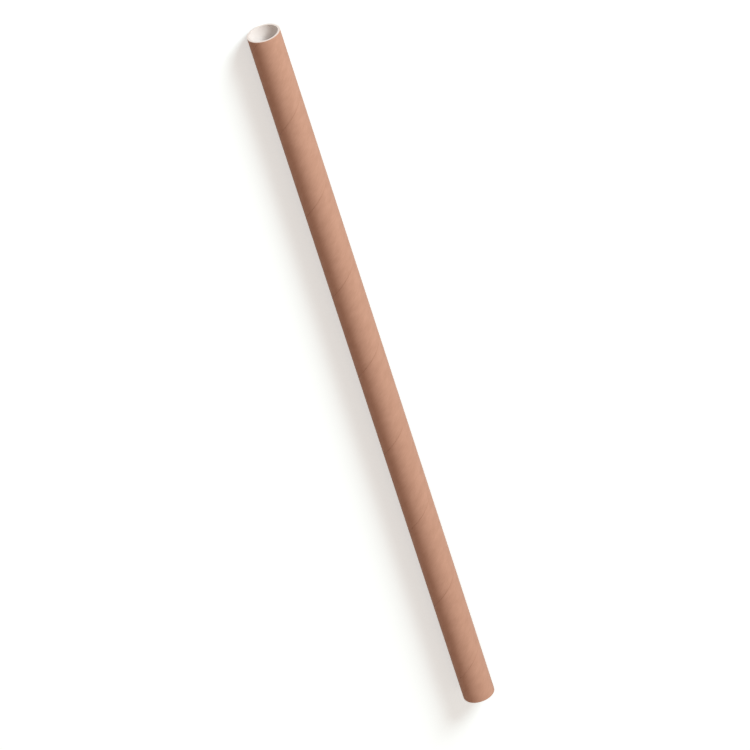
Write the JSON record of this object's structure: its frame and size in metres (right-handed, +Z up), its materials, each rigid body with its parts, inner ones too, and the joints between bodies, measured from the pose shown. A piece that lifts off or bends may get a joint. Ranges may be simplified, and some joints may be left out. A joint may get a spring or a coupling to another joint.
{
  "type": "paper drinking straw",
  "caption": "Straight drinking straw of white paper wound into a tube, with a brown paper strip wrapped round it and both ends cut square.",
  "frame": {"origin": "on the surface that the straw lies on, under the middle of its length", "axes": "+X along the straw's axis, +Y across it, +Z up"},
  "size_m": [0.197, 0.008, 0.008],
  "materials": {
    "white_paper": "matte",
    "brown_paper": "matte"
  },
  "bodies": {
    "root": {"inner_tube": "white_paper", "outer_wrap": "brown_paper"}
  },
  "joints": []
}
